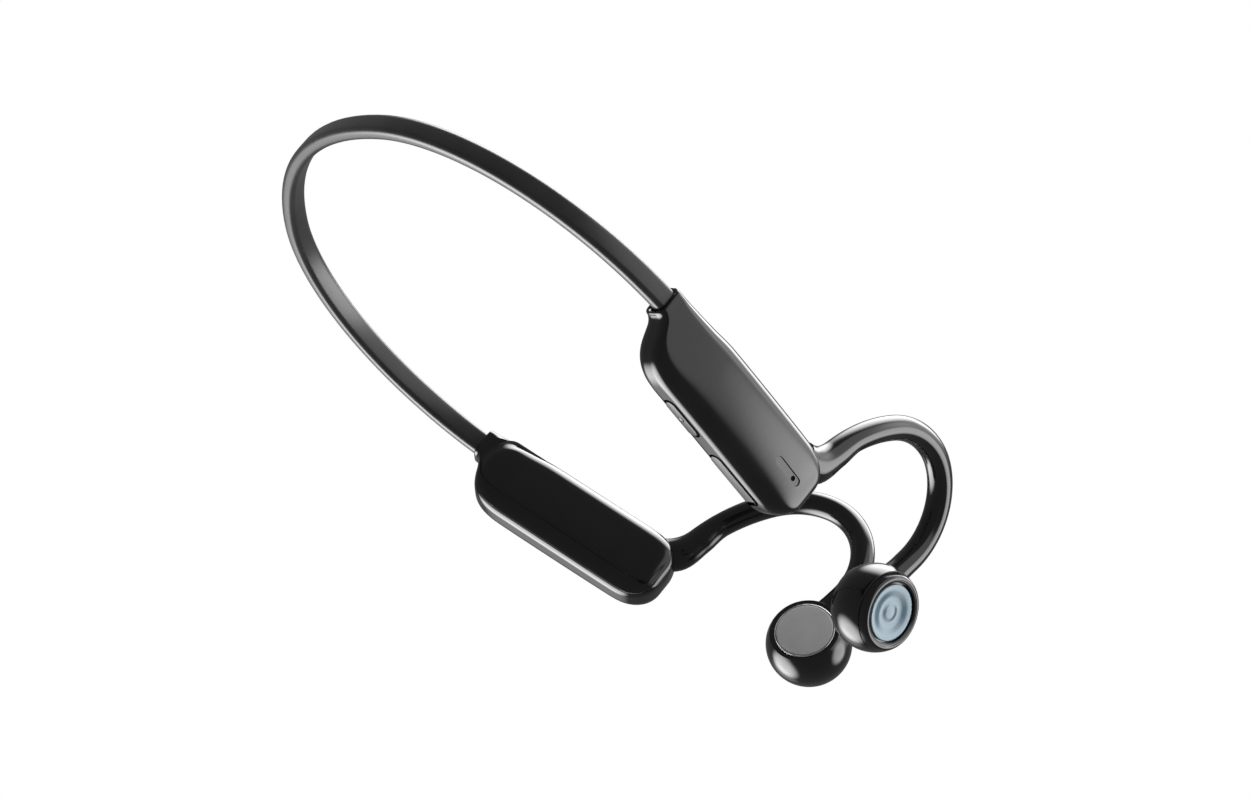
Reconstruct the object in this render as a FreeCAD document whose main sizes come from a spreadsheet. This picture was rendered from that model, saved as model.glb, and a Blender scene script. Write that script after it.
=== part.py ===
"""Bone conduction headphones: neckband, two pods, two ear hooks and two transducer buds.

Units are millimetres.  +X is the wearer's right, +Y is forward and +Z is up.  The origin is under
the middle of the headset, on the surface that the pods stand on.  Right-hand pieces are modelled
first, and left-hand pieces mirror them.
"""
import FreeCAD, Part
import os
import re
from math import cos, radians, sin

from FreeCAD import Placement, Rotation, Vector

DIMENSIONS = {
    # Neckband: arcs from the middle of the neck to the pod, lengths along Z for its height.
    "band_back_y": -74.25,
    "band_level": 12.1,
    "band_height": 4.8,
    "band_thickness": 3.2,
    "band_rounding": 1.2,
    "back_radius": 83.3,
    "back_angle": 25.3,
    "corner_radius": 50.0,
    "corner_angle": 42.1,
    "side_radius": 53.0,
    "side_angle": 37.9,
    "band_insert": 5.4,
    "band_wire_radius": 0.6,
    "band_leads_radius": 0.55,
    "band_wire_rise": 0.9,
    "band_leads_drop": 1.1,
    "lead_tail": 4.0,
    # Pods: sizes in each pod's own frame, which starts at the neckband's end.
    "pod_toe_in": 23.0,
    "pod_rear": 2.4,
    "pod_front": 49.2,
    "pod_bottom": -12.1,
    "pod_top": 4.1,
    "pod_half_width": 5.1,
    "pod_shift": -0.4,
    "pod_split": -3.0,
    "pod_rim": 3.0,
    "cavity_rim": 0.6,
    "wall": 1.2,
    "bottom_rear_rounding": 8.5,
    "bottom_front_rounding": 6.5,
    "top_front_rounding": 7.0,
    "top_rear_rounding": 4.6,
    "collar_start": -0.6,
    "collar_overlap": 2.0,
    "collar_half_width": 3.1,
    "collar_half_height": 3.3,
    "collar_rounding": 1.2,
    "gasket_width": 0.5,
    "gasket_thickness": 0.6,
    # Controls on the right pod's underside.
    "control_offset": -0.5,
    "button_start": 13.6,
    "button_length": 10.2,
    "button_width": 3.6,
    "button_thickness": 1.2,
    "button_recess": 0.25,
    "button_travel": 0.4,
    "dot_radius": 0.7,
    "port_start": 28.4,
    "port_length": 14.4,
    "port_width": 3.8,
    "flap_thickness": 0.9,
    "flap_recess": 0.1,
    "gap": 0.12,
    "pin_radius": 0.35,
    "pin_clearance": 0.05,
    "pin_grip": 0.5,
    "dot_recess": 0.05,
    "seal_grip": 0.5,
    "seal_thickness": 0.4,
    "tongue_half_width": 0.8,
    "tongue_back": 3.2,
    "tongue_front": 3.6,
    "tongue_height": 1.0,
    "pin_setback": 1.9,
    "socket_half_length": 4.5,
    "socket_half_width": 1.6,
    "socket_height": 5.8,
    "socket_wall": 0.3,
    "socket_clearance": 0.3,
    "socket_tongue_half_width": 0.35,
    "socket_tongue_half_length": 3.0,
    "socket_tongue_rise": 1.4,
    # Status light and microphone on the right pod's outer face.
    "light_start": 36.8,
    "light_length": 7.6,
    "light_level": -4.5,
    "light_width": 1.8,
    "microphone_at": 42.6,
    "sound_hole_radius": 0.45,
    "mesh_depth": 0.6,
    "mesh_thickness": 0.15,
    # Boards, chips, switch and screws in the right pod.
    "board_face": 1.1,
    "board_thickness": 0.8,
    "board_rear": 12.0,
    "board_front": 44.2,
    "board_shoulder": 37.0,
    "board_bottom": -10.1,
    "board_step": -3.0,
    "board_top": 2.2,
    "rear_screw": 14.2,
    "front_screw": 34.8,
    "screw_level": 1.0,
    "screw_radius": 0.5,
    "screw_tip": 1.4,
    "screw_head_radius": 0.95,
    "screw_head_height": 0.7,
    "inner_chip_height": 0.9,
    "outer_chip_height": 0.8,
    "radio_rear": 17.0,
    "radio_length": 5.5,
    "radio_foot": -5.5,
    "radio_width": 5.5,
    "charger_rear": 26.0,
    "charger_length": 3.0,
    "charger_foot": -3.5,
    "charger_width": 3.0,
    "crystal_rear": 24.0,
    "crystal_length": 1.2,
    "crystal_foot": -3.2,
    "crystal_width": 2.0,
    "memory_rear": 18.0,
    "memory_length": 4.0,
    "memory_foot": -6.0,
    "memory_width": 3.0,
    "amplifier_rear": 27.0,
    "amplifier_length": 3.5,
    "amplifier_foot": -5.0,
    "amplifier_width": 3.5,
    "lamp_rear": 38.6,
    "lamp_length": 1.4,
    "lamp_foot": -5.0,
    "lamp_width": 1.0,
    "switch_depth": 3.2,
    "switch_half_length": 2.0,
    "switch_height": 1.6,
    "plunger_radius": 0.8,
    "plunger_height": 0.6,
    "plunger_clearance": 0.05,
    "plunger_reach": 0.4,
    "microphone_half": 1.1,
    "microphone_rounding": 0.3,
    "light_base_gap": 1.1,
    # Clamps on the wires in both pods.
    "band_clamp_half_width": 2.2,
    "band_clamp_rear": 6.2,
    "band_clamp_front": 9.2,
    "band_clamp_half_height": 2.6,
    "hook_clamp_inner": -0.4,
    "hook_clamp_outer": 3.7,
    "hook_clamp_rear": 38.2,
    "hook_clamp_front": 40.6,
    "hook_clamp_bottom": -2.0,
    "hook_clamp_top": 2.4,
    # Battery, its foam pad and its protection board in the left pod.
    "cell_inner": -2.4,
    "cell_thickness": 5.6,
    "cell_rear": 11.5,
    "cell_front": 35.5,
    "cell_bottom": -9.6,
    "cell_top": 1.4,
    "cell_rounding": 1.2,
    "foam_rear": 14.0,
    "foam_front": 33.0,
    "foam_bottom": -8.0,
    "foam_top": 0.0,
    "foam_rounding": 1.0,
    "guard_inner": -2.2,
    "guard_outer": 2.8,
    "guard_rear": 35.9,
    "guard_thickness": 0.8,
    "guard_bottom": -9.0,
    "guard_top": 1.0,
    "guard_chip_half": 1.2,
    "guard_chip_bottom": -7.0,
    "guard_chip_top": -4.0,
    # Ear hooks: arcs in an upright plane, turned in from straight ahead.
    "hook_x": 46.15,
    "hook_y": 33.95,
    "hook_z": 14.1,
    "hook_turn_in": 39.2,
    "root_heading": 20.0,
    "root_radius": 8.4,
    "root_angle": 52.8,
    "rise_radius": 34.4,
    "rise_angle": 28.2,
    "crown_radius": 18.3,
    "crown_angle": 41.6,
    "brow_radius": 14.4,
    "brow_angle": 65.7,
    "drop_radius": 14.4,
    "drop_angle": 37.7,
    "hook_lead_in": 1.0,
    "hook_tail": 4.8,
    "hook_tube_radius": 2.5,
    "hook_wire_radius": 0.6,
    "hook_leads_radius": 0.5,
    "hook_wire_offset": 0.9,
    "hook_leads_offset": -1.0,
    # Buds: sizes along and around each bud's axis, which points outwards.
    "bud_x": 19.7,
    "bud_y": 66.75,
    "bud_z": 10.4,
    "bud_turn": 36.0,
    "bud_radius": 8.75,
    "bud_hollow_radius": 7.4,
    "bud_outer_face": 4.9,
    "bud_seam": 3.4,
    "bud_inner_face": -5.0,
    "pad_mouth_radius": 6.3,
    "pad_radius": 5.95,
    "dish_radius": 5.7,
    "dish_mouth_radius": 6.1,
    "pad_mouth_floor": -3.8,
    "dish_recess": 0.35,
    "dish_depth": 0.75,
    "dish_floor_radius": 1.425,
    "dish_rim_radius": 5.244,
    "dome_radius": 0.912,
    "dome_recess": 0.2,
    "pad_thickness": 1.1,
    "pad_stand": 0.2,
    "ring_stand": 0.05,
    "ring_depth": 0.9,
    "post_radius": 1.15,
    "post_low": -4.1,
    "spring_bore": 1.2,
    "spring_low": -3.6,
    "spring_high": -3.3,
    "flange_half": 0.4,
    "flange_overlap": 0.1,
    "flange_gap": 1.0,
    "yoke_low": -0.6,
    "yoke_floor": 1.7,
    "yoke_high": 2.6,
    "yoke_gap": 0.25,
    "magnet_low": -0.4,
    "coil_plate_low": -2.6,
    "coil_low": -2.2,
    "coil_high": 1.2,
    "driver_radius": 5.6,
    "yoke_radius": 5.0,
    "magnet_radius": 3.2,
    "coil_outer_radius": 4.1,
    "coil_inner_radius": 3.5,
}

doc = FreeCAD.newDocument("BoneConductionHeadphones")
sheet = doc.addObject("Spreadsheet::Sheet", "Dims")
for row, (alias, value) in enumerate(DIMENSIONS.items(), start=1):
    sheet.set(f"A{row}", alias)
    sheet.set(f"B{row}", str(value))
    sheet.setAlias(f"B{row}", alias)
doc.recompute()

nodes = []


def dim(alias):
    """One driving dimension, as a number."""
    return float(sheet.get(alias))


def bind(piece, prop, formula):
    """Bind a property to a formula of the sheet's aliases."""
    named = re.sub(r"[a-z_]{3,}", lambda word: "Dims." + word.group(), str(formula))
    piece.setExpression(prop, named)


def node(piece, name, frame=None):
    """Name a finished sub-part and seat it in its frame."""
    piece.Label = name
    if frame is not None:
        piece.Placement = frame
    nodes.append(piece)
    return piece


# Solids -----------------------------------------------------------------------------------------


def block(name, x, y, z):
    """A box between two formulas along each axis."""
    piece = doc.addObject("Part::Box", name)
    for size, axis, (low, high) in (("Length", "x", x), ("Width", "y", y), ("Height", "z", z)):
        bind(piece, size, f"({high}) - ({low})")
        bind(piece, f"Placement.Base.{axis}", low)
    return piece


def disc(name, radius, low, high):
    """A cylinder along Z between two formulas."""
    piece = doc.addObject("Part::Cylinder", name)
    bind(piece, "Radius", radius)
    bind(piece, "Height", f"({high}) - ({low})")
    bind(piece, "Placement.Base.z", low)
    return piece


def peg(name, radius, x, y, z, direction, length):
    """A cylinder from a point along a direction."""
    piece = doc.addObject("Part::Cylinder", name)
    piece.Placement.Rotation = Rotation(Vector(0, 0, 1), Vector(*direction))
    bind(piece, "Radius", radius)
    bind(piece, "Height", length)
    for axis, formula in (("x", x), ("y", y), ("z", z)):
        bind(piece, f"Placement.Base.{axis}", formula)
    return piece


def cut(name, base, *tools):
    """The base with every tool taken out of it."""
    for count, tool in enumerate(tools, start=1):
        piece = doc.addObject("Part::Cut", name if count == len(tools) else f"{name}_step_{count}")
        piece.Base = base
        piece.Tool = tool
        base = piece
    return base


def fuse(name, *pieces):
    piece = doc.addObject("Part::MultiFuse", name)
    piece.Shapes = list(pieces)
    return piece


def common(name, *pieces):
    piece = doc.addObject("Part::MultiCommon", name)
    piece.Shapes = list(pieces)
    return piece


def mirror(name, source):
    """The left-hand copy of a right-hand piece."""
    piece = doc.addObject("Part::Mirroring", name)
    piece.Source = source
    piece.Normal = Vector(1, 0, 0)
    return piece


def ring(name, outer, inner, low, high):
    """A flat ring around Z."""
    return cut(name, disc(name + "_disc", outer, low, high), disc(name + "_hole", inner, low, high))


def group(name, *pieces):
    """Separate solids that make one sub-part."""
    piece = doc.addObject("Part::Compound", name)
    piece.Links = list(pieces)
    return piece


def fillet(name, base, chosen):
    """Round the chosen edges, given as pairs of a test and a radius."""
    doc.recompute()
    piece = doc.addObject("Part::Fillet", name)
    piece.Base = base
    edges = []
    for index, edge in enumerate(base.Shape.Edges, start=1):
        for test, radius in chosen:
            if test(edge):
                edges.append((index, radius, radius))
                break
    piece.Edges = edges
    return piece


def along(edge, axis):
    """Whether an edge runs along the given axis, 0 to 2."""
    size = (edge.BoundBox.XLength, edge.BoundBox.YLength, edge.BoundBox.ZLength)
    return size[axis] > 1e-6 and max(size[(axis + 1) % 3], size[(axis + 2) % 3]) < 1e-6


def rounded_block(name, x, y, z, corners, rim):
    """A box with its four edges along X rounded, then the rims of its two X faces.

    The corners are the radii at rear bottom, rear top, front bottom and front top.
    """
    box = block(name + "_box", x, y, z)
    doc.recompute()
    middle = box.Shape.CenterOfMass
    rear_bottom, rear_top, front_bottom, front_top = corners

    def at(front, top):
        def test(edge):
            place = edge.CenterOfMass
            return along(edge, 0) and (place.y > middle.y) == front and (place.z > middle.z) == top

        return test

    chosen = [
        (at(False, False), rear_bottom),
        (at(False, True), rear_top),
        (at(True, False), front_bottom),
        (at(True, True), front_top),
    ]
    if rim == 0:
        return fillet(name, box, chosen)
    shaped = fillet(name + "_corners", box, chosen)
    return fillet(name, shaped, [(lambda edge: edge.BoundBox.XLength < 1e-6, rim)])


def slot(name, start, length, width, low, high):
    """A stadium that lies along Y on the underside's centre line, between two levels."""
    half = f"({width}) / 2"
    middle = block(
        name + "_middle",
        (f"control_offset - {half}", f"control_offset + {half}"),
        (f"{start} + {half}", f"{start} + {length} - {half}"),
        (low, high),
    )
    ends = []
    for end, place in (("rear", f"{start} + {half}"), ("front", f"{start} + {length} - {half}")):
        height = f"({high}) - ({low})"
        ends.append(peg(f"{name}_{end}", half, "control_offset", place, low, (0, 0, 1), height))
    return fuse(name, middle, *ends)


# Paths of tangent arcs --------------------------------------------------------------------------


def arc_end(point, heading, radius, angle):
    """Where an arc ends, and its new heading: a positive angle turns left."""
    side = 1 if angle > 0 else -1
    after = heading + angle
    x = point.x + side * radius * (sin(radians(after)) - sin(radians(heading)))
    y = point.y - side * radius * (cos(radians(after)) - cos(radians(heading)))
    return Vector(x, y, 0), after


def ahead(point, heading, distance):
    return point + Vector(cos(radians(heading)), sin(radians(heading)), 0) * distance


def arc_path(point, heading, turns, lead_in, lead_out):
    """A wire in the XY plane: a straight lead in, tangent arcs and a straight lead out."""
    start = ahead(point, heading, -lead_in)
    edges = [Part.LineSegment(start, point).toShape()]
    for radius, angle in turns:
        middle, _ = arc_end(point, heading, radius, angle / 2)
        end, after = arc_end(point, heading, radius, angle)
        edges.append(Part.Arc(point, middle, end).toShape())
        point, heading = end, after
    edges.append(Part.LineSegment(point, ahead(point, heading, lead_out)).toShape())
    return Part.Wire(edges)


def sweep(name, path, plane, make_section):
    """Carry a section along a path that lies in the given plane."""
    spine = doc.addObject("Part::Feature", name + "_path")
    spine.Shape = path
    spine.Placement = plane
    start = path.Edges[0].Vertexes[0].Point
    toward = path.Edges[0].Vertexes[-1].Point - start
    turned = Rotation(Vector(0, 0, 1).cross(toward), Vector(0, 0, 1), toward, "ZYX")
    section = make_section(name + "_section")
    section.Placement = plane * Placement(start, turned)
    piece = doc.addObject("Part::Sweep", name)
    piece.Sections = [section]
    piece.Spine = (spine, [f"Edge{count + 1}" for count in range(len(path.Edges))])
    piece.Solid = True
    return piece


def circle_section(radius):
    def make(name):
        section = doc.addObject("Part::Circle", name)
        bind(section, "Radius", radius)
        return section

    return make


def strap_section(name):
    """The neckband's section: a rounded rectangle, thick along X and tall along Y."""
    half_x = dim("band_thickness") / 2
    half_y = dim("band_height") / 2
    round_off = dim("band_rounding")
    corners = [Vector(x, y, 0) for x, y in ((1, 1), (-1, 1), (-1, -1), (1, -1))]
    edges = []
    for count, corner in enumerate(corners):
        centre = Vector(corner.x * (half_x - round_off), corner.y * (half_y - round_off), 0)
        begin = 90 * count
        circle = Part.Circle(centre, Vector(0, 0, 1), round_off)
        edges.append(Part.ArcOfCircle(circle, radians(begin), radians(begin + 90)).toShape())
    outline = []
    for count, edge in enumerate(edges):
        following = edges[(count + 1) % 4]
        outline.append(edge)
        outline.append(Part.LineSegment(edge.Vertexes[-1].Point, following.Vertexes[0].Point).toShape())
    section = doc.addObject("Part::Feature", name)
    section.Shape = Part.Wire(outline)
    return section


# Neckband ---------------------------------------------------------------------------------------

back_half = (dim("back_radius"), dim("back_angle"))
corner = (dim("corner_radius"), dim("corner_angle"))
side = (dim("side_radius"), dim("side_angle"))

collar = Vector(0, dim("band_back_y"), 0)
heading = 0.0
for radius, angle in (back_half, corner, side):
    collar, heading = arc_end(collar, heading, radius, angle)
band_end_heading = heading

left_collar = Vector(-collar.x, collar.y, 0)
band_turns = [side, corner, (back_half[0], 2 * back_half[1]), corner, side]
insert = dim("band_insert")
strand_insert = insert + dim("lead_tail")
strap_path = arc_path(left_collar, -band_end_heading, band_turns, insert, insert)
strand_path = arc_path(left_collar, -band_end_heading, band_turns, strand_insert, strand_insert)


def band_plane(rise):
    return Placement(Vector(0, 0, dim("band_level") + rise), Rotation())


strap = sweep("strap_solid", strap_path, band_plane(0), strap_section)
band_wire = sweep(
    "band_wire", strand_path, band_plane(dim("band_wire_rise")), circle_section("band_wire_radius")
)
band_leads = sweep(
    "band_leads", strand_path, band_plane(-dim("band_leads_drop")), circle_section("band_leads_radius")
)
node(cut("strap", strap, band_wire, band_leads), "neckband_sleeve")
node(band_wire, "neckband_wire")
node(band_leads, "neckband_leads")

# Ear hooks --------------------------------------------------------------------------------------

hook_turns = [
    (dim("root_radius"), dim("root_angle")),
    (dim("rise_radius"), -dim("rise_angle")),
    (dim("crown_radius"), -dim("crown_angle")),
    (dim("brow_radius"), -dim("brow_angle")),
    (dim("drop_radius"), -dim("drop_angle")),
]


def hook_plane(offset):
    """The upright plane of the right hook: its X runs inwards and forwards, its Y runs up."""
    turn = Rotation(Vector(0, 0, 1), 90 + dim("hook_turn_in"))
    upright = Rotation(Vector(1, 0, 0), 90)
    place = Vector(dim("hook_x"), dim("hook_y"), dim("hook_z"))
    return Placement(place, turn * upright) * Placement(Vector(0, 0, offset), Rotation())


root = Vector(0, 0, 0)
hook_path = arc_path(root, dim("root_heading"), hook_turns, dim("hook_lead_in"), dim("hook_tail"))
hook_strand = arc_path(root, dim("root_heading"), hook_turns, dim("lead_tail"), dim("hook_tail"))
hook_solid = sweep("hook_solid", hook_path, hook_plane(0), circle_section("hook_tube_radius"))
hook_wire = sweep(
    "hook_wire", hook_strand, hook_plane(dim("hook_wire_offset")), circle_section("hook_wire_radius")
)
hook_leads = sweep(
    "hook_leads", hook_strand, hook_plane(dim("hook_leads_offset")), circle_section("hook_leads_radius")
)
hook_sleeve = cut("hook_sleeve", hook_solid, hook_wire, hook_leads)
for name, source in (("sleeve", hook_sleeve), ("wire", hook_wire), ("leads", hook_leads)):
    node(source, f"right_hook_{name}")
    node(mirror(f"left_hook_{name}_mirror", source), f"left_hook_{name}")

# Pods -------------------------------------------------------------------------------------------

collar_place = Vector(collar.x, collar.y, dim("band_level"))
pod_frame = Placement(collar_place, Rotation(Vector(0, 0, 1), dim("pod_toe_in")))
pod_frame = pod_frame * Placement(Vector(dim("pod_shift"), 0, 0), Rotation())
to_pod = pod_frame.inverse()

pod_roundings = [
    dim("bottom_rear_rounding"),
    dim("top_rear_rounding"),
    dim("bottom_front_rounding"),
    dim("top_front_rounding"),
]
pod_body = rounded_block(
    "pod_body",
    ("-pod_half_width", "pod_half_width"),
    ("pod_rear", "pod_front"),
    ("pod_bottom", "pod_top"),
    pod_roundings,
    dim("pod_rim"),
)
collar_block = block(
    "collar_block",
    ("-collar_half_width", "collar_half_width"),
    ("collar_start", "pod_rear + pod_rim + collar_overlap"),
    ("-collar_half_height", "collar_half_height"),
)
collar_body = fillet("collar_body", collar_block, [(lambda edge: along(edge, 1), dim("collar_rounding"))])
pod_solid = fuse("pod_solid", pod_body, collar_body)
pod_cavity = rounded_block(
    "pod_cavity",
    ("wall - pod_half_width", "pod_half_width - wall"),
    ("pod_rear + wall", "pod_front - wall"),
    ("pod_bottom + wall", "pod_top - wall"),
    [radius - dim("wall") for radius in pod_roundings],
    dim("cavity_rim"),
)


def seal_ring(name):
    """The flat ring between the two halves of a casing, half as wide as the wall."""
    layer = ("pod_split - gasket_thickness / 2", "pod_split + gasket_thickness / 2")
    solids = []
    for part, inset in (("outer", "wall - gasket_width"), ("inner", "wall")):
        roundings = [radius - dim("wall") for radius in pod_roundings]
        solids.append(
            rounded_block(
                f"{name}_{part}",
                layer,
                (f"pod_rear + {inset}", f"pod_front - ({inset})"),
                (f"pod_bottom + {inset}", f"pod_top - ({inset})"),
                roundings,
                0,
            )
        )
    return cut(name, *solids)


def in_pod(name, source):
    """A copy of a headset piece in the pod's own frame, for cutting its way through the casing."""
    doc.recompute()
    piece = doc.addObject("Part::Feature", name)
    piece.Shape = source.Shape.copy()
    piece.Placement = to_pod * source.Shape.Placement
    return piece


hook_way = in_pod("hook_way", hook_solid)
strap_way = in_pod("strap_way", strap)
seal = seal_ring("seal")
casing = cut("casing", pod_solid, pod_cavity, seal, hook_way, strap_way)
margin = "pod_half_width + 1"
whole_length = ("collar_start - 1", "pod_front + 1")
whole_height = ("pod_bottom - 1", "pod_top + 1")
outer_side = block("outer_side", ("pod_split", margin), whole_length, whole_height)
inner_side = block("inner_side", (f"-({margin})", "pod_split"), whole_length, whole_height)
tub = common("tub", casing, outer_side)
lid = common("lid", casing, inner_side)

# Openings in the right pod's casing, and what fills them.
through = ("pod_bottom - 1", "pod_bottom + wall + gap")
button_well = slot("button_well", "button_start", "button_length", "button_width", *through)
port_well = slot("port_well", "port_start", "port_length", "port_width", *through)
pin_level = "pod_bottom + flap_recess + flap_thickness / 2"
pin_length = "port_width + pin_grip"
pin_hole = peg(
    "pin_hole",
    "pin_radius",
    f"control_offset - ({pin_length}) / 2",
    "port_start + pin_setback",
    pin_level,
    (1, 0, 0),
    pin_length,
)
light_half = "light_width / 2"


def light_slot(name, low, high):
    """A stadium along Y in the outer face, between two depths along X."""
    middle = block(
        name + "_middle",
        (low, high),
        (f"light_start + {light_half}", f"light_start + light_length - {light_half}"),
        (f"light_level - {light_half}", f"light_level + {light_half}"),
    )
    ends = []
    for end, place in (
        ("rear", f"light_start + {light_half}"),
        ("front", f"light_start + light_length - {light_half}"),
    ):
        ends.append(
            peg(f"{name}_{end}", light_half, low, place, "light_level", (1, 0, 0), f"({high}) - ({low})")
        )
    return fuse(name, middle, *ends)


light_well = light_slot("light_well", "pod_half_width - wall - 1", "pod_half_width + 1")
right_tub = cut("right_tub", tub, button_well, port_well, pin_hole, light_well)
node(right_tub, "right_outer_cover", pod_frame)
node(group("right_lid", lid), "right_inner_cover", pod_frame)


def left_copy(name, source):
    """Seat a piece of the right pod's frame in the headset, and mirror it to the left."""
    seated = group(name + "_right", source)
    seated.Placement = pod_frame
    return node(mirror(name + "_mirror", seated), name)


left_copy("left_outer_cover", tub)
left_copy("left_inner_cover", lid)
node(cut("right_seal", seal, hook_way), "right_cover_gasket", pod_frame)
left_copy("left_cover_gasket", cut("left_seal", seal, hook_way))

button_top = "pod_bottom + button_recess + button_thickness"
button_cap = slot(
    "button_cap",
    "button_start + gap",
    "button_length - 2 * gap",
    "button_width - 2 * gap",
    "pod_bottom + button_recess",
    button_top,
)
button_dot = peg(
    "button_dot",
    "dot_radius",
    "control_offset",
    "button_start + button_length / 2",
    "pod_bottom + dot_recess",
    (0, 0, 1),
    "button_recess",
)
node(fuse("button", button_cap, button_dot), "power_button", pod_frame)
seal_low = "pod_bottom + wall"
seal_plate = slot(
    "seal_plate",
    "button_start - seal_grip",
    "button_length + 2 * seal_grip",
    "button_width + 2 * seal_grip",
    seal_low,
    f"{seal_low} + seal_thickness",
)
seal_way = slot(
    "seal_way",
    "button_start - gap",
    "button_length + 2 * gap",
    "button_width + 2 * gap",
    f"{seal_low} - 1",
    f"{seal_low} + 1",
)
button_seal = cut("button_seal_solid", seal_plate, seal_way)
node(button_seal, "button_seal", pod_frame)

# The port cover: a flap that turns on a pin at its rear end, with a tongue that plugs the socket.
flap_low = "pod_bottom + flap_recess"
flap_high = f"{flap_low} + flap_thickness"
port_middle = "port_start + port_length / 2"
flap_plate = slot(
    "flap_plate", "port_start + gap", "port_length - 2 * gap", "port_width - 2 * gap", flap_low, flap_high
)
tongue = block(
    "tongue",
    ("control_offset - tongue_half_width", "control_offset + tongue_half_width"),
    (f"{port_middle} - tongue_back", f"{port_middle} + tongue_front"),
    (f"{flap_high} - gap", f"{flap_high} + tongue_height"),
)
flap_bore = peg(
    "flap_bore",
    "pin_radius + pin_clearance",
    "control_offset - port_width",
    "port_start + pin_setback",
    pin_level,
    (1, 0, 0),
    "2 * port_width",
)
node(cut("flap", fuse("flap_blank", flap_plate, tongue), flap_bore), "port_cover", pod_frame)
pin_body = peg(
    "pin_body",
    "pin_radius",
    f"control_offset - ({pin_length}) / 2",
    "port_start + pin_setback",
    pin_level,
    (1, 0, 0),
    pin_length,
)
node(group("pin", pin_body), "port_cover_pin", pod_frame)
socket_low = "pod_bottom + wall + socket_clearance"
socket_x = ("control_offset - socket_half_width", "control_offset + socket_half_width")
socket_y = (f"{port_middle} - socket_half_length", f"{port_middle} + socket_half_length")
socket_shell = block("socket_shell", socket_x, socket_y, (socket_low, f"{socket_low} + socket_height"))
socket_mouth = block(
    "socket_mouth",
    tuple(f"{edge} {sign} socket_wall" for edge, sign in zip(socket_x, "+-")),
    tuple(f"{edge} {sign} socket_wall" for edge, sign in zip(socket_y, "+-")),
    (f"{socket_low} - 1", f"{socket_low} + socket_height - socket_wall"),
)
socket_tongue = block(
    "socket_tongue",
    ("control_offset - socket_tongue_half_width", "control_offset + socket_tongue_half_width"),
    (f"{port_middle} - socket_tongue_half_length", f"{port_middle} + socket_tongue_half_length"),
    (f"{socket_low} + socket_tongue_rise", f"{socket_low} + socket_height"),
)
socket_blank = cut("socket_blank", socket_shell, socket_mouth)
node(fuse("socket", socket_blank, socket_tongue), "charging_socket", pod_frame)

# Boards, chips and switches.
board_x = ("board_face", "board_face + board_thickness")
board_low = block("board_low", board_x, ("board_rear", "board_front"), ("board_bottom", "board_step"))
board_high = block("board_high", board_x, ("board_rear", "board_shoulder"), ("board_step", "board_top"))
x_axis = (1, 0, 0)


def screw_part(name, radius, place, base, length):
    """A round across the board at a screw's place, which is rear_screw or front_screw."""
    return peg(name, radius, base, place, "screw_level", x_axis, length)


screw_places = ("rear_screw", "front_screw")
board_holes = []
for place in screw_places:
    board_holes.append(
        screw_part(f"{place}_hole", "screw_radius", place, "board_face - 1", "board_thickness + 2")
    )
node(cut("board", fuse("board_blank", board_low, board_high), *board_holes), "main_board", pod_frame)
inner_layer = ("board_face - inner_chip_height", "board_face")
outer_layer = ("board_face + board_thickness", "board_face + board_thickness + outer_chip_height")


def chip(name, layer):
    """A chip on one face of the board, from its own rear, length, foot and width."""
    return block(
        name + "_chip",
        layer,
        (f"{name}_rear", f"{name}_rear + {name}_length"),
        (f"{name}_foot", f"{name}_foot + {name}_width"),
    )


chips = [chip(name, inner_layer) for name in ("radio", "charger", "crystal")]
chips += [chip(name, outer_layer) for name in ("memory", "amplifier", "lamp")]
node(group("chips", *chips), "board_chips", pod_frame)
screws = []
for place in screw_places:
    shank_length = "board_thickness + screw_tip"
    head_base = "board_face - screw_head_height"
    shank = screw_part(f"{place}_shank", "screw_radius", place, "board_face", shank_length)
    head = screw_part(f"{place}_head", "screw_head_radius", place, head_base, "screw_head_height")
    screws.append(fuse(f"{place}_solid", shank, head))
node(group("screws", *screws), "board_screws", pod_frame)
plunger_low = f"{button_top} + button_travel + plunger_clearance"
switch_middle = "button_start + button_length / 2"
switch_box = block(
    "switch_box",
    ("board_face - switch_depth", "board_face"),
    (f"{switch_middle} - switch_half_length", f"{switch_middle} + switch_half_length"),
    (f"{plunger_low} + plunger_reach", f"{plunger_low} + plunger_reach + switch_height"),
)
plunger = peg(
    "plunger", "plunger_radius", "control_offset", switch_middle, plunger_low, (0, 0, 1), "plunger_height"
)
node(fuse("switch", switch_box, plunger), "power_switch", pod_frame)
microphone_box = block(
    "microphone_box",
    outer_layer,
    ("microphone_at - microphone_half", "microphone_at + microphone_half"),
    ("light_level - microphone_half", "light_level + microphone_half"),
)
microphone_can = fillet(
    "microphone", microphone_box, [(lambda edge: along(edge, 0), dim("microphone_rounding"))]
)
node(microphone_can, "microphone", pod_frame)
light_low = "board_face + board_thickness + light_base_gap"
light_bar = light_slot("light_bar", light_low, "pod_half_width")
sound_hole = peg(
    "sound_hole",
    "sound_hole_radius",
    f"{light_low} - 1",
    "microphone_at",
    "light_level",
    x_axis,
    "2 * pod_half_width",
)
light_pipe = cut("light_pipe", light_bar, sound_hole)
node(light_pipe, "light_pipe", pod_frame)
mesh_disc = peg(
    "mesh_disc",
    "sound_hole_radius",
    "pod_half_width - mesh_depth",
    "microphone_at",
    "light_level",
    x_axis,
    "mesh_thickness",
)
node(group("mesh", mesh_disc), "microphone_mesh", pod_frame)

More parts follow.
